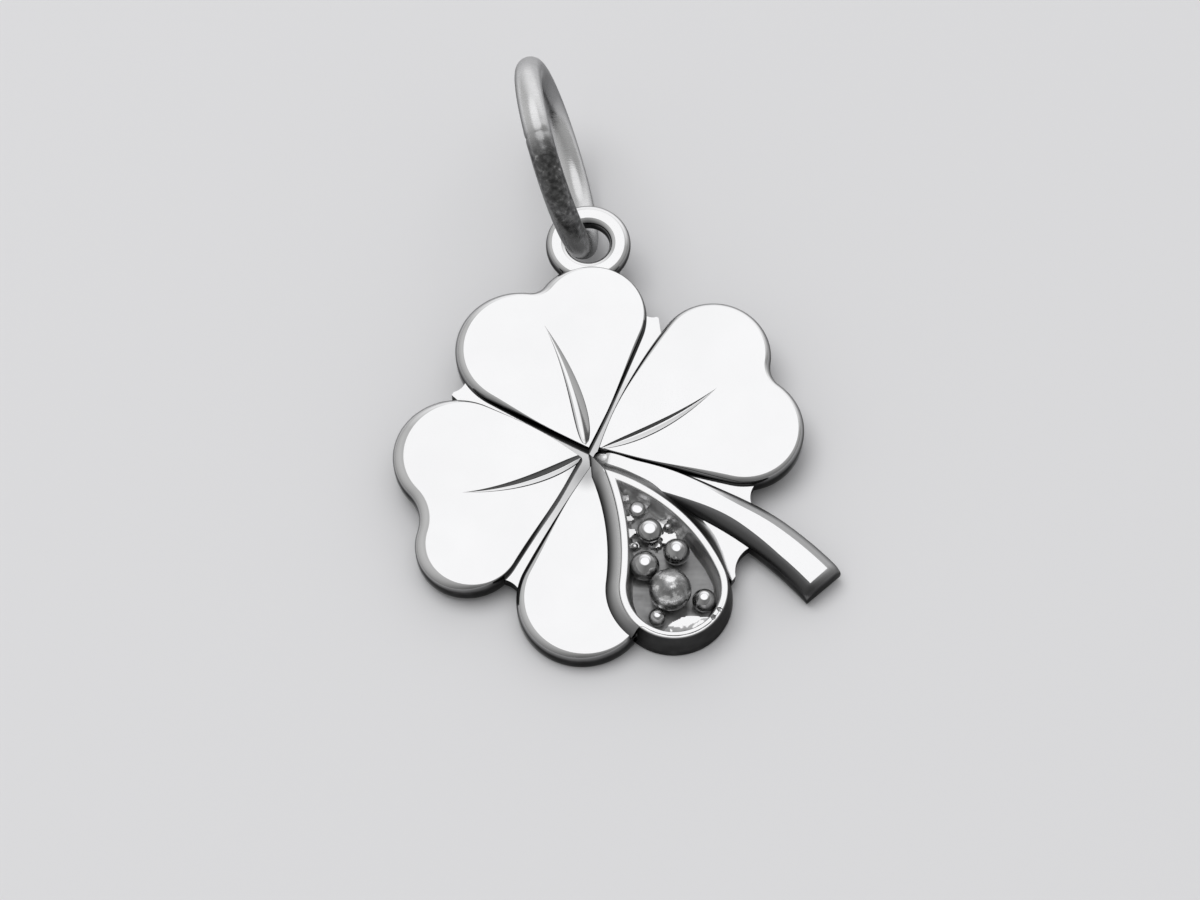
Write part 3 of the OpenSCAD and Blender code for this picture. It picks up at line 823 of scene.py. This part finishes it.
def vein_tarnish(points, chosen):
    """Painted shade of the chosen points that lie in a sharp vein, by their numbers."""
    sharp = [vein for vein in VEINS if vein.valley is not None]
    marks = np.concatenate([ring[:len(VEIN_SHADE)] for vein in sharp for ring in vein_rings(vein)])
    finder = kdtree.KDTree(len(marks))
    for k, p in enumerate(marks):
        finder.insert(p, k)
    finder.balance()
    found = {}
    for k in chosen:
        _, mark, gap = finder.find(points[k])
        if gap < VEIN_NEAR:
            found[k] = VEIN_SHADE[mark % len(VEIN_SHADE)]
    return found


def store_tarnish(mesh):
    """Painted shade on sloping faces: round the cup, on the stem's sides and in the two sharp veins."""
    points = np.array([v.co for v in mesh.vertices])
    value = np.zeros(len(points))
    upper = np.flatnonzero(points[:, 2] > PLATE_T - WEB_DROP)
    reach = 1.35 * norm(cup_axis)
    near_cup = upper[norm(points[upper, :2] - cup_mid, axis=1) < reach]
    value[near_cup] = slope_tarnish(points[near_cup])
    value[upper] = np.maximum(value[upper], stem_tarnish(points[upper]))
    in_vein = vein_tarnish(points, upper)
    for k, tarnish in in_vein.items():
        value[k] = tarnish
    takes = []
    for face in mesh.polygons:
        n = face.normal
        bright = n.y > 0 and n.z > VEIN_BRIGHT and face.vertices[0] in in_vein
        takes += [SHADE_SLOPES[0] < n.z < SHADE_SLOPES[1] and not bright] * len(face.vertices)
    corners = value[[loop.vertex_index for loop in mesh.loops]] * np.array(takes)
    layer = mesh.attributes.new("tarnish", "FLOAT", "CORNER")
    layer.data.foreach_set("value", corners.astype(np.float32))


def build_clover():
    body, *parts = [leaf_solid(leaf) for leaf in LEAVES]
    parts += [web_solid(), stem_solid(), blob_solid(), cup_wall_solid(), skirt_solid(), eyelet_solid()]
    combine(body, parts, "UNION")
    cuts = [hollow_solid()] + [skin("vein", vein_rings(v)) for v in VEINS]
    cuts += [nick_solid(*nick) for nick in NICKS]
    combine(body, cuts, "DIFFERENCE")
    combine(body, [cup_floor_solid()], "UNION")
    border = cup_outline(RIM_W - CUP_BORDER)
    for face in body.data.polygons:
        face.material_index = cup_material(face, border)
    store_tarnish(body.data)
    return body


# Distance at which doubled points are joined
WELD = 0.0002


def finish_mesh(obj, name, sharp=32):
    """Carries a solid to the row frame and shades it smooth, sharp at its creases."""
    def clean(bm):
        bmesh.ops.remove_doubles(bm, verts=bm.verts, dist=WELD)
        bmesh.ops.dissolve_degenerate(bm, edges=bm.edges, dist=WELD)
        for e in bm.edges:
            if len(e.link_faces) == 2:
                e.smooth = e.calc_face_angle(0) < radians(sharp)
        for f in bm.faces:
            f.smooth = True
    edit(obj.data, clean)
    co = np.array([v.co for v in obj.data.vertices])
    obj.data.vertices.foreach_set("co", lay(co).astype(np.float32).ravel())
    obj.data.update()
    obj.name = obj.data.name = name
    mod = obj.modifiers.new("weighted", "WEIGHTED_NORMAL")
    mod.keep_sharp = True
    mod.weight = 100
    return obj


# Jump ring and grains

# The seam's angle from the eyelet; height, distance and width of its swells; its depth and width
SEAM_AT = 250.0
SEAM_SWELL_H, SEAM_SWELL_AT, SEAM_SWELL_W = 0.02, 0.22, 0.12
SEAM_D, SEAM_W = 0.035, 0.05

# Grains that look larger than the loose solids, and how high the upper half of two melted ones is
GRAIN_SWELL = {1: 1.13, 7: 1.2, 6: 1.1}
FLAT_TOPS = {7: 0.38, 4: 0.62}
# How uneven the grains are, and three melted ones; middle and swing of the unevenness
GRAIN_ROUGH, MELTED_ROUGH = 0.015, {7: 0.10, 8: 0.12, 9: 0.14}
ROUGH_MID, ROUGH_SWING = 0.6, 0.5
# Waves over a grain: how many, which way, and how far each grain's are shifted
GRAIN_WAVES = [(2.1, vec(1, 0.3, -0.5)), (3.3, vec(-0.4, 1, 0.6)), (4.9, vec(0.5, -0.7, 1))]
GRAIN_PHASE = vec(1.7, 0.4, 2.9)


def ring_shape(t, a):
    """Solder seam: a shallow groove with a low swell on both sides, uneven round the wire."""
    d = (t - radians(SEAM_AT) + pi) % (2 * pi) - pi
    d *= ring_r
    swell = SEAM_SWELL_H * exp(-((abs(d) - SEAM_SWELL_AT) / SEAM_SWELL_W) ** 2)
    groove = -SEAM_D * exp(-(d / SEAM_W) ** 2) * (0.6 + 0.4 * cos(a + 0.8))
    return swell * (0.6 + 0.4 * sin(a * 2 + 0.5)) + groove


def build_ring():
    return torus("jump_ring_wire", ring_mid, ring_axis, -ring_reach, ring_r, RING_WIRE, 360, 40, ring_shape)


def build_grain(k):
    """Nearly round grain, k from 1."""
    row = GRAINS[k - 1]
    r = GRAIN_D * row[-1] / 2 * GRAIN_SWELL.get(k, 1.0)
    mid = at_z(grain_place(*row), FLOOR_T + GRAIN_GAP + r)
    rough = MELTED_ROUGH.get(k, GRAIN_ROUGH)

    def place(co):
        n = vec(*co)
        wave = sum(sin(f * n @ way + p) / f for (f, way), p in zip(GRAIN_WAVES, GRAIN_PHASE * k))
        if n[2] > 0:
            n[2] *= FLAT_TOPS.get(k, 1.0)
        return Vector(mid + n * r * (1 - rough * (ROUGH_MID + ROUGH_SWING * wave)))

    return ball("grain", 1.0, 5 if k == 1 else 4, place)


# Shader helpers


def feed(socket, value):
    """Sets a socket to a value, or links another socket to it."""
    if isinstance(value, bpy.types.NodeSocket):
        socket.id_data.links.new(value, socket)
    else:
        socket.default_value = value


def node(owner, kind, **values):
    """Node in a tree, or in that of a socket. _name sets an attribute, and any other name an input."""
    n = owner.id_data.nodes.new(kind)
    for key, value in values.items():
        if key.startswith("_"):
            setattr(n, key[1:], value)
        else:
            feed(n.inputs[key.replace("__", " ")], value)
    return n


def new_material(name):
    mat = bpy.data.materials.new(name)
    mat.use_nodes = True
    return mat, mat.node_tree.nodes["Principled BSDF"]


def new_metal(name, tint=1.0):
    """Metal, and the coordinates on it. The tint is a grey for what it reflects at a low angle."""
    mat, bsdf = new_material(name)
    feed(bsdf.inputs["Metallic"], 1.0)
    feed(bsdf.inputs["Specular Tint"], (tint, tint, tint, 1))
    return mat, bsdf, node(mat.node_tree, "ShaderNodeTexCoord").outputs["Object"]


def ramp(source, stops):
    """Grey that depends on a value. The stops are pairs of value and grey."""
    n = node(source, "ShaderNodeValToRGB", Fac=source)
    elements = n.color_ramp.elements
    elements[0].position, elements[1].position = stops[0][0], stops[-1][0]
    for place, _ in stops[1:-1]:
        elements.new(place)
    for element, (_, grey) in zip(elements, stops):
        element.color = (grey, grey, grey, 1)
    return n.outputs["Color"]


def mixed(share, low, high):
    """Colour between two sockets or greys."""
    mix = node(share, "ShaderNodeMix", _data_type="RGBA")
    for socket, value in zip([i for i in mix.inputs if i.type == "RGBA"], (low, high)):
        feed(socket, (value, value, value * 1.01, 1) if isinstance(value, float) else value)
    feed(next(i for i in mix.inputs if i.name == "Factor" and i.type == "VALUE"), share)
    return next(o for o in mix.outputs if o.type == "RGBA")


def maths(operation, one, two):
    n = node(one, "ShaderNodeMath", _operation=operation)
    feed(n.inputs[0], one)
    feed(n.inputs[1], two)
    return n.outputs[0]


def product(one, two):
    return maths("MULTIPLY", one, two)


def measure(operation, coords, other):
    """Distance from a place, or part along a way."""
    n = node(coords, "ShaderNodeVectorMath", _operation=operation)
    feed(n.inputs[0], coords)
    feed(n.inputs[1], tuple(other))
    return n.outputs["Value"]


def ranged(value, **values):
    return node(value, "ShaderNodeMapRange", Value=value, **values).outputs["Result"]


def near(coords, place, low, high):
    """1 within low millimetres of a place in the plate frame, and 0 beyond high."""
    return ranged(measure("DISTANCE", coords, lay(place)), _interpolation_type="SMOOTHSTEP",
                  From__Min=low * MM, From__Max=high * MM, To__Min=1.0, To__Max=0.0)


def below(coords, low, high):
    """1 under a height of low millimetres over the plate's underside, and 0 over high."""
    up = TURN @ vec(0, 0, 1)
    base = float(lay(vec(0, 0, 0)) @ up)
    return ranged(measure("DOT_PRODUCT", coords, up),
                  From__Min=base + low * MM, From__Max=base + high * MM, To__Min=1.0, To__Max=0.0)


def level(coords):
    """How far a face looks up, in the object's own frame."""
    normal = node(coords, "ShaderNodeTexCoord").outputs["Normal"]
    return node(coords, "ShaderNodeSeparateXYZ", Vector=normal).outputs["Z"]


def cloud(coords, scale, detail, rough=0.55):
    n = node(coords, "ShaderNodeTexNoise", Vector=coords, Scale=scale, Detail=detail, Roughness=rough)
    return n.outputs["Fac"]


def mottled(coords, scale, detail, stops):
    """Greys in clouds. The stops are pairs of noise and grey."""
    return ramp(cloud(coords, scale, detail), stops)


def bumped(height, strength, distance, under=(0, 0, 0)):
    """Bump, over another one where told."""
    n = node(height, "ShaderNodeBump", Height=height, Strength=strength, Distance=distance, Normal=under)
    return n.outputs["Normal"]


def scratches(coords, scale, turn, stretch):
    """Noise drawn out along one direction."""
    n = node(coords, "ShaderNodeMapping", Vector=coords, Rotation=(0, 0, radians(turn)),
             Scale=(scale, scale * stretch, scale))
    return cloud(n.outputs["Vector"], 1.0, 3.0, 0.6)


# Two crossing sets of scratches: scale, angle and how much longer than wide they are
SCRATCHES = [(900.0, 24.0, 22.0), (1100.0, -58.0, 26.0)]
# Depth of the scratches and of the slow wave in metres, scale of the wave, and roughness of the painted
# shade
SCRATCH_D, WAVE_D, WAVE_SCALE, PAINTED_SHADE_ROUGH = 0.00002, 0.0002, 260.0, 0.36


def polish(coords, bsdf, rough, fine, wave, dull=None):
    """Crossing fine scratches over a faint slow wave, and duller where told."""
    both = maths("ADD", *[scratches(coords, *row) for row in SCRATCHES])
    half = product(both, 0.5)
    roughness = ramp(half, [(0.40, rough[0]), (0.62, rough[1])])
    if dull is not None:
        roughness = mixed(dull, roughness, PAINTED_SHADE_ROUGH)
    feed(bsdf.inputs["Roughness"], roughness)
    slow = bumped(cloud(coords, WAVE_SCALE, 1.0), wave, WAVE_D)
    feed(bsdf.inputs["Normal"], bumped(half, fine, SCRATCH_D, slow))


# Materials

# Grey of the painted shade on slopes, veins, stem sides and grooves
PAINTED_SHADE_GREY = 0.05
# Painted grey shade where the leaves meet: place, reach, strength and grey
HUB_AT, HUB_REACH, HUB_SHARE, HUB_SHADE_GREY = vec(-0.10, -0.75, PLATE_T), (0.1, 0.9), 0.7, 0.30
# Painted shade in the grooves: reach from the middle, height and strength
GROOVE_REACH, GROOVE_HEIGHT, GROOVE_SHARE = (1.5, 4.5), (0.58, 0.70), 0.34
# Painted shade over the jump ring's lower half, where it is also finely marked: place and reach
RING_DARK, RING_DARK_REACH = vec(-1.05, 8.6, 4.2), (1.8, 3.4)


def plate_silver():
    """Mirror polish on the flats, painted dark shade on steep walls, slopes and grooves, painted grey shade
    where the leaves meet.
    """
    mat, bsdf, coords = new_metal("polished_silver", tint=0.45)
    bright = mottled(coords, 420.0, 4.0, [(0.3, 0.91), (0.7, 0.94)])
    # Painted dark shade for steep walls, mixed in by how far a face looks up
    steep_shade = mottled(coords, 1500.0, 4.0, [(0.35, 0.045), (0.65, 0.085)])
    steep = ramp(level(coords), [(0.12, 1.0), (0.40, 0.88), (0.68, 0.50), (0.90, 0.0)])
    # Painted shade stored on the mesh round the cup, on the stem's sides and in the sharp veins
    tarnish = node(coords, "ShaderNodeAttribute", _attribute_name="tarnish").outputs["Fac"]
    tone = mixed(tarnish, mixed(steep, bright, steep_shade), PAINTED_SHADE_GREY)
    # Painted grey shade at the middle, where the leaves meet
    tone = mixed(product(near(coords, HUB_AT, *HUB_REACH), HUB_SHARE), tone, HUB_SHADE_GREY)
    # Painted shade low in the grooves near the middle
    middle = near(coords, at_z(MIDDLE, PLATE_T), *GROOVE_REACH)
    groove_shade = product(middle, below(coords, *GROOVE_HEIGHT))
    tone = mixed(product(groove_shade, GROOVE_SHARE), tone, PAINTED_SHADE_GREY)
    feed(bsdf.inputs["Base Color"], tone)
    polish(coords, bsdf, rough=(0.035, 0.10), fine=0.06, wave=0.03, dull=product(tarnish, 3.0))
    return mat


def cup_silver():
    """Grey satin metal inside the cup, darker on its floor."""
    mat, bsdf, coords = new_metal("cup_silver")
    wall = mottled(coords, 900.0, 3.0, [(0.35, 0.76), (0.65, 0.86)])
    grey = mottled(coords, 1300.0, 3.0, [(0.35, 0.28), (0.65, 0.36)])
    flat = ramp(level(coords), [(0.55, 0.0), (0.95, 1.0)])
    feed(bsdf.inputs["Base Color"], mixed(flat, wall, grey))
    polish(coords, bsdf, rough=(0.34, 0.46), fine=0.06, wave=0.02)
    return mat


def grain_silver():
    """Dulled metal, painted bright on top where it reflects the overhead lamp."""
    mat, bsdf, coords = new_metal("grain_silver")
    tone = mottled(coords, 1700.0, 3.0, [(0.3, 0.38), (0.7, 0.52)])
    # Painted highlight: lighter base colour on the upward faces that catch the lamp
    top = ramp(level(coords), [(0.905, 0.0), (0.93, 1.0)])
    feed(bsdf.inputs["Base Color"], mixed(top, tone, 0.96))
    polish(coords, bsdf, rough=(0.015, 0.05), fine=0.04, wave=0.03)
    return mat


def ring_silver():
    """Wire with painted shade at its sides, and painted shade with fine wear marks along its lower half."""
    mat, bsdf, coords = new_metal("ring_silver", tint=0.6)
    bright = mottled(coords, 600.0, 4.0, [(0.3, 0.72), (0.7, 0.84)])
    # Painted shade on the wire's steep sides, by how far a face looks up
    sides = ramp(level(coords), [(0.0, 1.0), (0.30, 0.85), (0.60, 0.0)])
    # Fine wear marks, set dark as painted shade over the lower half
    marks = mottled(coords, 5200.0, 8.0, [(0.36, 0.07), (0.50, 0.12), (0.62, 0.19), (0.72, 0.46)])
    upper = ramp(level(coords), [(0.06, 0.0), (0.24, 1.0)])
    lower_shade = product(near(coords, RING_DARK, *RING_DARK_REACH), upper)
    feed(bsdf.inputs["Base Color"], mixed(lower_shade, mixed(sides, bright, 0.24), marks))
    polish(coords, bsdf, rough=(0.20, 0.34), fine=0.3, wave=0.06)
    return mat


def frosted_silver():
    """Melted grain: fine grit over half-dulled metal."""
    mat, bsdf, coords = new_metal("frosted_silver")
    tone = mottled(coords, 2200.0, 5.0, [(0.36, 0.26), (0.52, 0.40), (0.60, 0.90)])
    rough = mottled(coords, 2200.0, 5.0, [(0.40, 0.34), (0.60, 0.12)])
    grit = bumped(cloud(coords, 8000.0, 3.0), 0.4, 0.00004)
    for name, value in {"Base Color": tone, "Roughness": rough, "Normal": grit}.items():
        feed(bsdf.inputs[name], value)
    return mat


def dress(obj, mats, slot, *nodes):
    for mat in mats:
        obj.data.materials.append(mat)
    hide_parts(*nodes)
    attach(obj, "root")
    return obj


# Floor, light and camera

FLOOR_HALF, FLOOR_COLOUR = 1.5, (0.74, 0.74, 0.75, 1)
# The overhead light's angle from upright, towards the back, and its edge
LAMP_TILT, LAMP_EDGE = 11.0, [(0.916, 0.0), (0.926, 1.0)]
# Way to the room's left side, and its greys from right to left
LEFTWARD, ROOM = (-0.98, 0.10, 0.17), [(0.0, 0.42), (0.30, 0.36), (0.5, 0.30), (0.72, 0.42), (1.0, 0.56)]
# The room's bright end, low behind the pendant: way to it, edge and grey
BEHIND, BEHIND_EDGE, BEHIND_GREY = (0.25, 0.95, 0.19), [(0.78, 0.0), (0.96, 1.0)], 0.95
# Soft light on the table: diameter in metres, watts and place
FILL_D, FILL_POWER, FILL_AT = 0.5, 1.5, (-0.18, 0.12, 0.60)

# The photograph's camera: degrees above the plate, distance, and pixels per millimetre there
VIEW_UP, VIEW_FAR, PX_PER_MM = 67.0, 110.0, 27.4
# The photograph's width in pixels, and how far left of and below its middle the clover's middle is
PHOTO_PX, LEFT_PX, DOWN_PX = 1200, 10, 3
SENSOR_W = 36.0


def make_floor():
    s = FLOOR_HALF
    mesh = bpy.data.meshes.new("floor")
    mesh.from_pydata([(-s, -s, 0), (s, -s, 0), (s, s, 0), (-s, s, 0)], [], [(0, 1, 2, 3)])
    floor = new_object("floor", mesh)
    mat, bsdf = new_material("floor_pale")
    for name, value in {"Base Color": FLOOR_COLOUR, "Roughness": 0.9, "Specular IOR Level": 0.1}.items():
        feed(bsdf.inputs[name], value)
    mesh.materials.append(mat)


def sky_ramp(coords, way, stops):
    """Greys of the sky, from the side opposite to a way, at 0, to the way itself, at 1."""
    return ramp(ranged(measure("DOT_PRODUCT", coords, way), From__Min=-1.0), stops)


def make_world():
    """Grey room with one wide soft light overhead and a bright end low behind the pendant."""
    world = bpy.data.worlds.new("studio")
    bpy.context.scene.world = world
    world.use_nodes = True
    coords = node(world.node_tree, "ShaderNodeTexCoord").outputs["Generated"]
    tilt = radians(LAMP_TILT)
    lamp = sky_ramp(coords, (0.0, sin(tilt), cos(tilt)), LAMP_EDGE)
    room = sky_ramp(coords, LEFTWARD, ROOM)
    room = mixed(sky_ramp(coords, BEHIND, BEHIND_EDGE), room, BEHIND_GREY)
    sky = world.node_tree.nodes["Background"]
    feed(sky.inputs["Color"], mixed(lamp, room, 1.0))
    feed(sky.inputs["Strength"], 1.0)


def make_fill():
    """Soft light on the table from above, kept out of the metal's reflections."""
    data = bpy.data.lights.new("fill", "AREA")
    data.shape = "DISK"
    data.size = FILL_D
    data.energy = FILL_POWER
    fill = new_object("fill", data)
    fill.location = FILL_AT
    fill.rotation_euler = (-fill.location).to_track_quat("-Z", "Y").to_euler()
    fill.visible_glossy = False


def make_camera():
    """The photograph's camera, laid on the table with the pendant."""
    elev, focal = radians(VIEW_UP), VIEW_FAR * PX_PER_MM
    right = vec(1, 0, 0)
    ahead = vec(0, cos(elev), -sin(elev))
    up = vec(0, sin(elev), cos(elev))
    to_clover = ahead - LEFT_PX / focal * right - DOWN_PX / focal * up
    place = lay(-to_clover * VIEW_FAR + vec(0, 0, PLATE_T))
    data = bpy.data.cameras.new("camera")
    data.sensor_width = SENSOR_W
    data.lens = SENSOR_W * focal / PHOTO_PX
    data.clip_start = MM
    camera = new_object("camera", data)
    axes = np.stack([TURN @ right, TURN @ up, -(TURN @ ahead)], 1)
    camera.matrix_world = Matrix([[*axes[i], place[i]] for i in range(3)] + [[0, 0, 0, 1]])
    bpy.context.scene.camera = camera


# The pendant

clover = finish_mesh(build_clover(), "clover_body")
dress(clover, [plate_silver(), cup_silver()], "silver", "clover")
ring = finish_mesh(build_ring(), "jump_ring_wire", 60)
dress(ring, [ring_silver()], "ring_silver", "jump_ring")
ring.visible_glossy = False
polished, frosted = grain_silver(), frosted_silver()
for k in range(1, len(GRAINS) + 1):
    grain = finish_mesh(build_grain(k), f"grain_{k}_body", 80)
    dress(grain, [frosted if k == 1 else polished], "grain_silver", f"grain_{k}")

make_floor()
make_world()
make_fill()
make_camera()
bpy.context.scene.view_settings.view_transform = "Standard"
